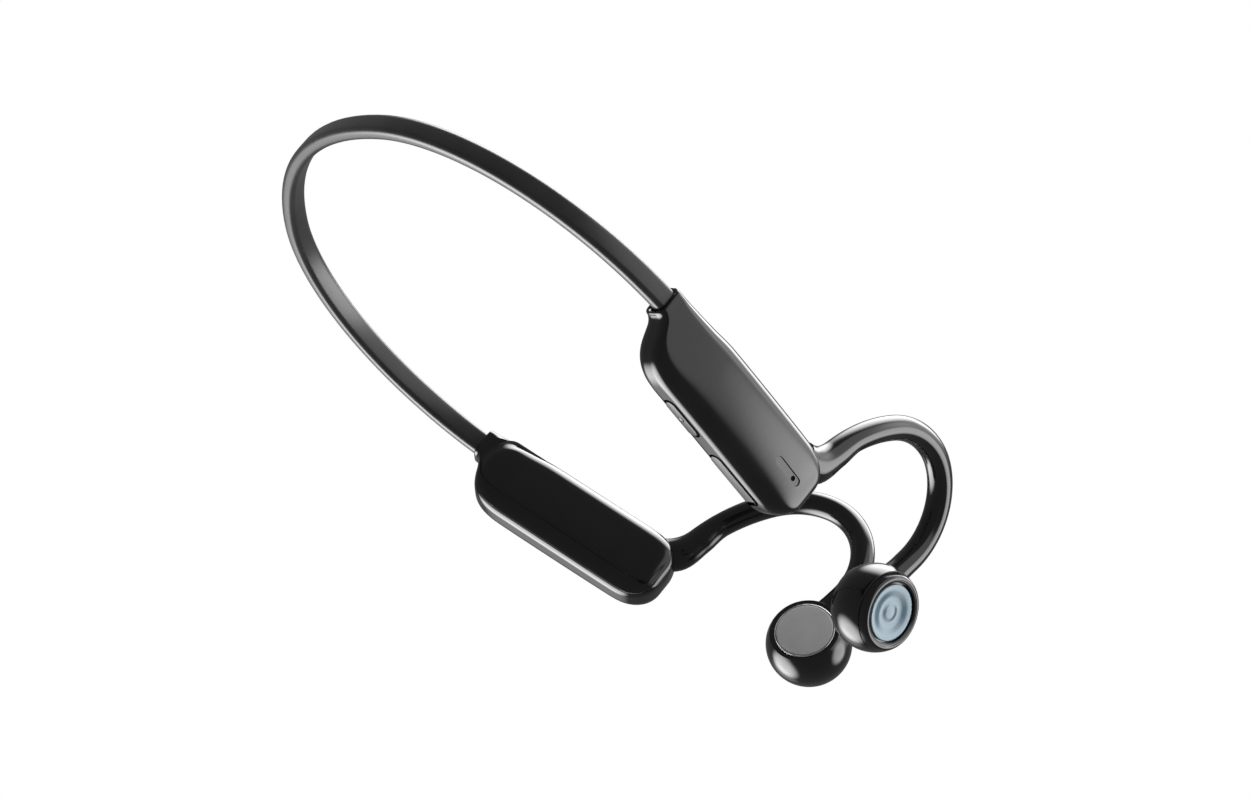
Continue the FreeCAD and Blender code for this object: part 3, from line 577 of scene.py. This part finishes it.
# Port cover -------------------------------------------------------------------------------------
# A rubber flap closes the charging port.  It turns on a pin at its rear end, plugs the socket with
# a tongue on its back, and has a small lip at its front end for a fingernail.
flap_gap, flap_proud, flap_thickness, flap_rim = 0.38, 0.22, 1.2, 0.22
tongue_length, tongue_width, tongue_height, tongue_forward = 6.8, 1.6, 1.0, 0.2
tongue_overlap = 0.02
lip_length, lip_width, lip_thickness, lip_setback, lip_proud = 0.9, 2.2, 0.3, 1.1, 0.08
flap_rubber = finish(
    "flap_rubber", (0.012, 0.012, 0.0125), (0.02, 0.02, 0.0205), (0.28, 0.36), 2600, 0.001
)
flap_size = (port_length - 2 * flap_gap, port_width - 2 * flap_gap, flap_thickness)
flap = key_shape(*flap_size, flap_rim)
tongue = oval_bar(tongue_length, tongue_width, tongue_height)
tongue.transform(Matrix.Translation((0, tongue_forward, flap_thickness - tongue_overlap)))
lip = oval_bar(lip_length, lip_width, lip_thickness, 4)
lip.transform(Matrix.Translation((0, port_length / 2 - lip_setback, -lip_proud)))
for extra in (tongue, lip):
    mesh = bpy.data.meshes.new("extra")
    extra.to_mesh(mesh)
    extra.free()
    flap.from_mesh(mesh)
    bpy.data.meshes.remove(mesh)
flap.transform(Matrix.Translation((control_offset, port_middle, underside - flap_proud)))
seat(
    flap,
    "port_flap",
    flap_rubber,
    ["port_cover"],
    body="port_cover",
    place=pod_frame(1),
    smooth=50,
)

# Hinge pin --------------------------------------------------------------------------------------
# A short stainless steel pin is pressed into the tub's two walls and runs through the flap's rear
# end.
pin_radius, pin_length, pin_setback, pin_rise = 0.35, 4.0, 1.9, 0.55
steel = finish(
    "stainless_steel", (0.42, 0.42, 0.43), (0.62, 0.62, 0.63), (0.18, 0.36), 3600, 0.003, 1
)
pin = short_rod(pin_radius, pin_length)
pin.transform(
    Matrix.Translation((control_offset, port_start + pin_setback, underside + pin_rise))
    @ Matrix.Rotation(pi / 2, 4, "Y")
)
seat(pin, "hinge_pin", steel, ["port_cover_pin"], place=pod_frame(1), bevelled=0.05)

# Ear hooks --------------------------------------------------------------------------------------
# Glossy black tube moulded over wire and leads: it flares where it meets the pod's front end, arches
# up over the ear and drops to the bud.  Two fine grooves follow its inner bend.
hook_at = Vector((46.15, 33.95, 14.1))
hook_turn_in = radians(39.2)
hook_heading = radians(20.0)
hook_tube = 2.5
# radius of the bend, angle turned, steps; a bend of no radius is a straight run of that length
hook_bends = (
    (0, 1.0, 1),
    (8.4, 52.8, 12),
    (34.4, -28.2, 20),
    (18.3, -41.6, 18),
    (14.4, -65.7, 24),
    (14.4, -37.7, 14),
    (0, 4.8, 5),
)
# distance along the hook, then the tube's size there in the hook's plane and across it
hook_flare = (
    (0.0, 1.5, 1.1),
    (4.0, 1.5, 1.15),
    (9.0, 1.2, 1.06),
    (15.0, 1.0, 1.0),
    (67.0, 1.0, 1.0),
    (74.0, 1.2, 1.16),
    (80.0, 1.24, 1.2),
)
hook_middle = 40.0
hook_sides = 48
# a groove's depth as a share of the tube's radius, and how many sides it lies from the inner bend
groove_depth, groove_side = 0.045, 8


def flare_at(run):
    """The tube's size at a distance along the hook, in its plane and across it."""
    for (start, *before), (end, *after) in zip(hook_flare, hook_flare[1:]):
        if run <= end:
            part = (run - start) / (end - start)
            part = part * part * (3 - 2 * part)
            return [low + (high - low) * part for low, high in zip(before, after)]
    return hook_flare[-1][1:]


def swell(shape, ring, still, facing, before, wanted):
    """Bring a ring of the tube from one size to another, about a point that stays where it is."""
    swing = Matrix(facing).transposed().to_4x4()
    grow = Matrix.Diagonal((wanted[0] / before[0], wanted[1] / before[1], 1, 1))
    about = Matrix.Translation(still) @ swing @ grow @ swing.inverted() @ Matrix.Translation(-still)
    corners = list({corner for edge in ring for corner in edge.verts})
    bmesh.ops.transform(shape, matrix=about, verts=corners)


def hook_shape():
    """A right-hand hook, in the headset's frame.  Near the pod it swells below its upper line only."""
    ahead_flat = Vector((-sin(hook_turn_in), cos(hook_turn_in), 0))
    up = Vector((0, 0, 1))
    axis = ahead_flat.cross(up)
    ahead = ahead_flat * cos(hook_heading) + up * sin(hook_heading)
    at = hook_at.copy()
    shape = bmesh.new()
    bmesh.ops.create_circle(shape, segments=hook_sides, radius=hook_tube)
    ring = shape.edges[:]
    for corner in shape.verts:
        number = round(corner.co.to_2d().angle_signed(Vector((-1, 0))) * hook_sides / (2 * pi))
        if abs(number) == groove_side:
            corner.co *= 1 - groove_depth
    stand = Matrix((axis.cross(ahead), axis, ahead)).transposed().to_4x4()
    stand.translation = at
    bmesh.ops.transform(shape, matrix=stand, verts=shape.verts)
    run = 0.0
    size = [1.0, 1.0]
    stretches = [(radius, turn / steps) for radius, turn, steps in hook_bends for _ in range(steps)]
    for radius, turn in [(0, 0), *stretches]:
        if radius:
            ring, at, ahead = round_turn(shape, ring, at, ahead, axis, radius, turn, 1)
            run += radius * abs(radians(turn))
        elif turn:
            ring = onward(shape, ring, ahead * turn)
            at = at + ahead * turn
            run += turn
        side = axis.cross(ahead)
        still = at + side * hook_tube if run < hook_middle else at
        wanted = flare_at(run)
        swell(shape, ring, still, (side, axis, ahead), size, wanted)
        size = wanted
    close_ends(shape)
    return shape


right_hook = hook_shape()
for side, hand in ((1, "right"), (-1, "left")):
    seat(
        right_hook.copy(),
        f"{hand}_hook",
        glossy_black,
        [f"{hand}_hook_sleeve"],
        place=Matrix.Diagonal((side, 1, 1, 1)),
        smooth=50,
    )
right_hook.free()

# Buds -------------------------------------------------------------------------------------------
# A glossy ball at the end of each hook, moulded as a bowl and a turned bezel that meet at a seam.
# The bezel faces outwards and holds the dish; the bowl's mouth faces the ear and holds the pad.
bud_centre = Vector((19.7, 66.75, 10.4))
bud_turn = radians(36.0)
bud_radius = 8.75
bud_outer, bud_seam, bud_inner = 4.9, 3.4, -5.0
pad_mouth, dish_mouth = 6.3, 6.1


def bud_frame(side):
    """Where a bud stands: its own Z axis points outwards from the head."""
    stand = Matrix.Translation(bud_centre) @ Matrix.Rotation(bud_turn, 4, "Z")
    stand = stand @ Matrix.Rotation(pi / 2, 4, "Y")
    return Matrix.Diagonal((side, 1, 1, 1)) @ stand


def turned(profile, steps=96):
    """A solid of revolution about Z, from points of radius and height."""
    shape = bmesh.new()
    last = bmesh.ops.create_vert(shape, co=(profile[0][0], 0, profile[0][1]))["vert"][0]
    for radius, height in profile[1:]:
        last = bmesh.ops.extrude_vert_indiv(shape, verts=[last])["verts"][0]
        last.co = (radius, 0, height)
    bmesh.ops.spin(
        shape,
        geom=[*shape.verts, *shape.edges],
        cent=(0, 0, 0),
        axis=(0, 0, 1),
        angle=2 * pi,
        steps=steps,
        use_merge=True,
    )
    bmesh.ops.remove_doubles(shape, verts=shape.verts, dist=0.001)
    return shape


def seat_pair(*parts, steps=96):
    """Turn each part for both buds and seat it, standing for the node of that name."""
    for side, hand in ((1, "right"), (-1, "left")):
        for profile, part, material, slot, node, smooth in parts:
            seat(
                turned(profile, steps),
                f"{hand}_{part}",
                material,
                [f"{hand}_{node}"],
                place=bud_frame(side),
                smooth=smooth,
            )


def ball_run(low, high, parts):
    """Points on the ball's outline between two heights along its axis."""
    heights = [low + (high - low) * part / parts for part in range(parts + 1)]
    return [((bud_radius**2 - height**2) ** 0.5, height) for height in heights]


bowl_profile = [
    (0.0, -3.6),
    (pad_mouth, -3.6),
    (pad_mouth, bud_inner + 0.12),
    (pad_mouth + 0.12, bud_inner),
    *ball_run(bud_inner, bud_seam - 0.1, 28),
    (7.9, bud_seam - 0.02),
    (7.6, bud_seam - 0.02),
    (0.0, bud_seam - 0.02),
]
bezel_profile = [
    (0.0, bud_seam + 0.02),
    (7.6, bud_seam + 0.02),
    (7.88, bud_seam + 0.04),
    *ball_run(bud_seam + 0.12, 4.55, 6),
    (7.32, 4.72),
    (7.1, 4.86),
    (6.9, bud_outer),
    (6.72, bud_outer - 0.02),
    (6.62, bud_outer - 0.14),
    (6.3, bud_outer - 0.2),
    (dish_mouth, bud_outer - 0.3),
    (dish_mouth, 3.9),
    (0.0, 3.9),
]
seat_pair(
    (bowl_profile, "bowl", glossy_black, "gloss_shell", "bud_shell", 30),
    (bezel_profile, "bezel", glossy_black, "gloss_shell", "bud_bezel", 30),
)

# Dishes -----------------------------------------------------------------------------------------
# A thin aluminium cap in each bezel, pressed to a dished ring with a raised middle, then turned and
# anodised a pale ice blue.
dish_profile = [
    (0.0, 4.02),
    (0.0, 4.28),
    (0.9, 4.24),
    (1.5, 4.12),
    (1.95, 3.99),
    (2.3, 3.95),
    (2.8, 3.99),
    (3.5, 4.14),
    (4.2, 4.33),
    (4.8, 4.45),
    (5.3, 4.5),
    (5.55, 4.5),
    (5.68, 4.42),
    (5.7, 4.2),
    (5.7, 3.96),
    (0.0, 3.93),
]
ice_blue = finish("ice_blue", (0.085, 0.145, 0.185), (0.11, 0.175, 0.215), (0.1, 0.14), 900, 0.001, 0.1)
seat_pair((dish_profile, "dish", ice_blue, "blue_metal", "bud_dish", 60), steps=128)

# Contact pads -----------------------------------------------------------------------------------
# The face that rests on the cheekbone: a soft grey silicone disc inside a bright metal ring.
pad_profile = [(0.0, -4.2), (5.85, -4.2), (5.85, -5.1), (5.75, -5.19), (5.6, -5.2), (0.0, -5.2)]
ring_profile = [
    (5.95, -4.2),
    (6.25, -4.2),
    (6.25, -5.0),
    (6.2, -5.12),
    (6.1, -5.16),
    (6.0, -5.12),
    (5.95, -5.0),
    (5.95, -4.2),
]
grey_silicone = finish("grey_silicone", (0.42, 0.42, 0.42), (0.47, 0.47, 0.47), (0.5, 0.6), 2600, 0.003)
bright_ring = finish("bright_ring", (0.5, 0.5, 0.51), (0.62, 0.62, 0.63), (0.15, 0.25), 2400, 0.001, 1)
seat_pair(
    (pad_profile, "pad", grey_silicone, "grey_pad", "contact_pad", 60),
    (ring_profile, "ring", bright_ring, "bright_ring", "pad_ring", 60),
)

# Seals ------------------------------------------------------------------------------------------
# Cords of soft black silicone keep sweat out: one lies in each pod's parting line, and a thin skirt
# is clamped round the power button's stem.
seal_rubber = finish("seal_rubber", (0.02, 0.02, 0.02), (0.035, 0.035, 0.036), (0.45, 0.6), 3000, 0.004)
dress(seal_rubber, "right_cover_gasket", "left_cover_gasket", "button_seal")

# Clamps -----------------------------------------------------------------------------------------
# Glass-filled nylon blocks grip the wires inside the pods, and a spoked frame of the same plastic
# carries each transducer.  Short fibres show in the surface as pale flecks.
nylon = finish("glass_filled_nylon", (0.03, 0.03, 0.032), (0.11, 0.11, 0.115), (0.42, 0.62), 5200, 0.012)
nylon.node_tree.nodes["tint"].color_ramp.elements[0].position = 0.5
dress(nylon, "right_band_clamp", "left_band_clamp", "right_hook_clamp", "left_hook_clamp")
dress(nylon, "right_transducer_frame", "left_transducer_frame")

# Boards -----------------------------------------------------------------------------------------
# Two printed boards, under a dark green resist: the main one behind the right pod's face, and the
# battery's guard in the left pod.  Copper tracks stand under the resist as paler lines.
resist = finish("solder_resist", (0.004, 0.035, 0.016), (0.012, 0.09, 0.035), (0.22, 0.34), 1500, 0.006)
resist_tree = resist.node_tree
tracks = resist_tree.nodes.new("ShaderNodeTexBrick")
tracks.inputs["Scale"].default_value = 420
tracks.inputs["Mortar Size"].default_value = 0.06
tracks.inputs["Color1"].default_value = (0.2, 0.2, 0.2, 1)
tracks.inputs["Color2"].default_value = (0.35, 0.35, 0.35, 1)
tracks.inputs["Mortar"].default_value = (1, 1, 1, 1)
turn_face = resist_tree.nodes.new("ShaderNodeMapping")
turn_face.inputs["Rotation"].default_value = (pi / 2, 0, pi / 2 + toe_in)
resist_place = resist_tree.nodes["Texture Coordinate"]
resist_tree.links.new(resist_place.outputs["Object"], turn_face.inputs["Vector"])
resist_tree.links.new(turn_face.outputs["Vector"], tracks.inputs["Vector"])
resist_tree.links.new(tracks.outputs["Color"], resist_tree.nodes["tint"].inputs["Fac"])
dress(resist, "main_board", "battery_board")

# Chips and the switch ---------------------------------------------------------------------------
# Packages of black moulding compound: fine, dull and slightly pitted, like slate.
compound = finish(
    "moulding_compound", (0.012, 0.012, 0.013), (0.03, 0.03, 0.031), (0.5, 0.66), 6000, 0.01
)
dress(compound, "board_chips", "power_switch")

# Steel parts ------------------------------------------------------------------------------------
# Screws, the socket, the microphone's can, the diaphragm spring and the magnet's yoke are of the
# same stainless steel, stamped or turned, with fine tool marks.
dress(steel, "board_screws", "charging_socket", "microphone")
dress(steel, "right_spring_plate", "left_spring_plate", "right_yoke", "left_yoke")

# Battery ----------------------------------------------------------------------------------------
# A flat lithium cell in a folded foil pouch, held off the tub by a pad of open-cell foam.
foil = finish("pouch_foil", (0.5, 0.5, 0.5), (0.72, 0.72, 0.71), (0.25, 0.45), 500, 0.03, 1)
dress(foil, "battery_cell")
foam = finish("open_foam", (0.01, 0.01, 0.01), (0.05, 0.05, 0.05), (0.85, 1.0), 2600, 0.15)
foam_tree = foam.node_tree
pores = foam_tree.nodes.new("ShaderNodeTexVoronoi")
pores.inputs["Scale"].default_value = 2200
foam_tree.links.new(foam_tree.nodes["Texture Coordinate"].outputs["Object"], pores.inputs["Vector"])
foam_tree.links.new(pores.outputs["Distance"], foam_tree.nodes["relief"].inputs["Height"])
dress(foam, "battery_pad")

# Magnets and coils ------------------------------------------------------------------------------
# A nickel-plated disc magnet stands in each yoke, inside a coil of enamelled copper wire whose turns
# make fine rings along it.
nickel = finish("nickel_plate", (0.58, 0.56, 0.52), (0.7, 0.68, 0.64), (0.1, 0.2), 1500, 0.001, 1)
dress(nickel, "right_magnet", "left_magnet")
copper = finish("enamelled_copper", (0.45, 0.16, 0.06), (0.7, 0.28, 0.11), (0.2, 0.34), 1200, 0.02, 1)
copper_tree = copper.node_tree
turns = copper_tree.nodes.new("ShaderNodeTexWave")
turns.inputs["Scale"].default_value = 1600
turns.inputs["Distortion"].default_value = 0.2
lie_down = copper_tree.nodes.new("ShaderNodeMapping")
lie_down.inputs["Rotation"].default_value = (0, 0, -bud_turn)
copper_place = copper_tree.nodes["Texture Coordinate"]
copper_tree.links.new(copper_place.outputs["Object"], lie_down.inputs["Vector"])
copper_tree.links.new(lie_down.outputs["Vector"], turns.inputs["Vector"])
copper_tree.links.new(turns.outputs["Fac"], copper_tree.nodes["relief"].inputs["Height"])
dress(copper, "right_voice_coil", "left_voice_coil")

# Studio -----------------------------------------------------------------------------------------
# Soft boxes stand round the headset in the dark, over a plain pale floor, and the camera looks up
# at it from below.
picture = bpy.context.scene
picture.view_settings.view_transform = "Standard"
aim = Vector((0.0022, 0.0049, 0.0155))
camera_turn, camera_tilt, camera_roll = -0.084, -0.367, 0.687
camera_distance = 0.984
level_back = Vector((cos(camera_turn), sin(camera_turn), 0))
level_right = Vector((-sin(camera_turn), cos(camera_turn), 0))
camera_back = level_back * cos(camera_tilt) + Vector((0, 0, sin(camera_tilt)))
level_up = camera_back.cross(level_right)
camera_right = level_right * cos(camera_roll) + level_up * sin(camera_roll)
camera_up = level_up * cos(camera_roll) - level_right * sin(camera_roll)
lens = bpy.data.cameras.new("camera")
lens.lens = 144
lens.sensor_width = 36
lens.clip_start = 0.05
lens.clip_end = 20
camera = bpy.data.objects.new("camera", lens)
looking = Matrix((camera_right, camera_up, camera_back)).transposed().to_4x4()
looking.translation = aim + camera_back * camera_distance
camera.matrix_world = looking
picture.collection.objects.link(camera)
picture.camera = camera

# the way to each light as the camera sees it (right, up, back), the angles from it at which the
# light is full and at which it ends, and its brightness
soft_lights = {
    "overhead": ((0.30, 0.78, -0.55), 3, 36, 9.0),
    "top_rim": ((0.66, 0.33, -0.67), 2, 15, 6.0),
    "top_fill": ((0.80, 0.30, -0.30), 4, 30, 2.2),
    "low_left": ((-0.72, -0.655, -0.2), 9, 33, 9.5),
    "under": ((-0.50, -0.62, -0.60), 8, 22, 1.0),
    "side": ((0.87, 0.35, 0.35), 28, 38, 1.2),
    "right": ((0.93, -0.28, -0.02), 10, 26, 5.5),
}
room_dimness = 0.2
room = bpy.data.worlds.new("room")
room.use_nodes = True
picture.world = room
walls = room.node_tree
looking_at = walls.nodes.new("ShaderNodeTexCoord")
light_sum = walls.nodes.new("ShaderNodeValue")
light_sum.outputs[0].default_value = room_dimness
total = light_sum.outputs[0]
for name, (toward, full, none, brightness) in soft_lights.items():
    out = camera_right * toward[0] + camera_up * toward[1] + camera_back * toward[2]
    facing = walls.nodes.new("ShaderNodeVectorMath")
    facing.operation = "DOT_PRODUCT"
    facing.inputs[1].default_value = out.normalized()
    walls.links.new(looking_at.outputs["Generated"], facing.inputs[0])
    glow = walls.nodes.new("ShaderNodeMapRange")
    glow.name = name
    glow.interpolation_type = "SMOOTHSTEP"
    glow.inputs["From Min"].default_value = cos(radians(none))
    glow.inputs["From Max"].default_value = cos(radians(full))
    glow.inputs["To Max"].default_value = brightness
    walls.links.new(facing.outputs["Value"], glow.inputs["Value"])
    added = walls.nodes.new("ShaderNodeMath")
    walls.links.new(total, added.inputs[0])
    walls.links.new(glow.outputs["Result"], added.inputs[1])
    total = added.outputs[0]
seen = walls.nodes.new("ShaderNodeLightPath")
backdrop = walls.nodes.new("ShaderNodeMix")
walls.links.new(seen.outputs["Is Camera Ray"], backdrop.inputs["Factor"])
walls.links.new(total, backdrop.inputs["A"])
backdrop.inputs["B"].default_value = 1.0
walls.links.new(backdrop.outputs["Result"], walls.nodes["Background"].inputs["Strength"])
walls.nodes["Background"].inputs["Color"].default_value = (1, 1, 1, 1)

# the floor shows from above only, and is clear to shadows, reflections and a view from below
floor_reach, floor_drop = 1.5, 0.0005
floor_shape = bmesh.new()
bmesh.ops.create_grid(floor_shape, x_segments=1, y_segments=1, size=floor_reach)
floor_mesh = bpy.data.meshes.new("floor")
floor_shape.to_mesh(floor_mesh)
floor_shape.free()
floor = bpy.data.objects.new("floor", floor_mesh)
picture.collection.objects.link(floor)
floor.location.z = -floor_drop
pale = bpy.data.materials.new("pale_floor")
pale.use_nodes = True
pale_tree = pale.node_tree
paint = pale_tree.nodes["Principled BSDF"]
paint.inputs["Base Color"].default_value = (0.86, 0.86, 0.86, 1)
paint.inputs["Roughness"].default_value = 0.9
clear = pale_tree.nodes.new("ShaderNodeBsdfTransparent")
eye = pale_tree.nodes.new("ShaderNodeLightPath")
which_side = pale_tree.nodes.new("ShaderNodeNewGeometry")
from_above = pale_tree.nodes.new("ShaderNodeMath")
from_above.operation = "SUBTRACT"
from_above.use_clamp = True
pale_tree.links.new(eye.outputs["Is Camera Ray"], from_above.inputs[0])
pale_tree.links.new(which_side.outputs["Backfacing"], from_above.inputs[1])
choose = pale_tree.nodes.new("ShaderNodeMixShader")
pale_tree.links.new(from_above.outputs["Value"], choose.inputs["Fac"])
pale_tree.links.new(clear.outputs["BSDF"], choose.inputs[1])
pale_tree.links.new(paint.outputs["BSDF"], choose.inputs[2])
pale_tree.links.new(choose.outputs["Shader"], pale_tree.nodes["Material Output"].inputs["Surface"])
floor.data.materials.append(pale)
